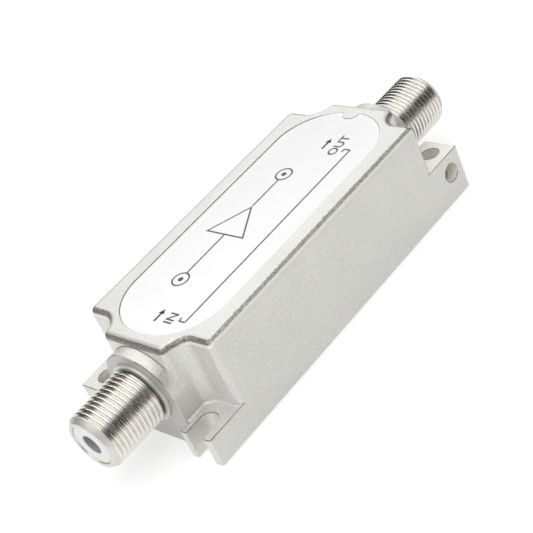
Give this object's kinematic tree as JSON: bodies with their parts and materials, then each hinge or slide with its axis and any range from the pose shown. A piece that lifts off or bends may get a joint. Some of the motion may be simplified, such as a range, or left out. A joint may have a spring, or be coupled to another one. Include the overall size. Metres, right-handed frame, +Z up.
{
  "type": "in-line signal amplifier",
  "caption": "In-line amplifier for a satellite cable: die-cast housing with ears, a threaded coaxial socket on each end, a label recess and a closed base.",
  "frame": {"origin": "on the base plane, under the middle of the housing", "axes": "+X along the socket axis toward the output, +Z up out of the label"},
  "size_m": [0.0826, 0.026, 0.0168],
  "materials": {
    "cast_housing": "rough satin, die-cast zinc",
    "tinned_plate": "satin tin plate",
    "label_film": "satin printed film",
    "nickel": "bright nickel plate",
    "white_plastic": "satin",
    "natural_plastic": "satin",
    "contact_brass": "tinned",
    "board_laminate": "satin solder mask",
    "black_moulding": "matte",
    "chip_ceramic": "matte",
    "choke_ferrite": "matte",
    "tantalum_case": "matte",
    "solder": "satin"
  },
  "bodies": {
    "root": {"housing": "cast_housing", "bottom_cover": "tinned_plate", "top_label": "label_film", "input_connector_shell": "nickel", "output_connector_shell": "nickel", "input_front_insulator": "white_plastic", "output_front_insulator": "white_plastic", "input_rear_insulator": "natural_plastic", "output_rear_insulator": "natural_plastic", "input_center_contact": "contact_brass", "output_center_contact": "contact_brass", "circuit_board": "board_laminate", "first_stage_transistor": "black_moulding", "second_stage_transistor": "black_moulding", "voltage_regulator": "black_moulding", "protection_diode": "black_moulding", "input_coupling_capacitor": "chip_ceramic", "interstage_coupling_capacitor": "chip_ceramic", "output_coupling_capacitor": "chip_ceramic", "bypass_capacitors": "chip_ceramic", "input_bias_choke": "choke_ferrite", "output_bias_choke": "choke_ferrite", "supply_choke": "choke_ferrite", "supply_capacitor": "tantalum_case", "chip_resistors": "black_moulding", "contact_solder_joints": "solder", "ground_solder_joints": "solder"}
  },
  "joints": []
}
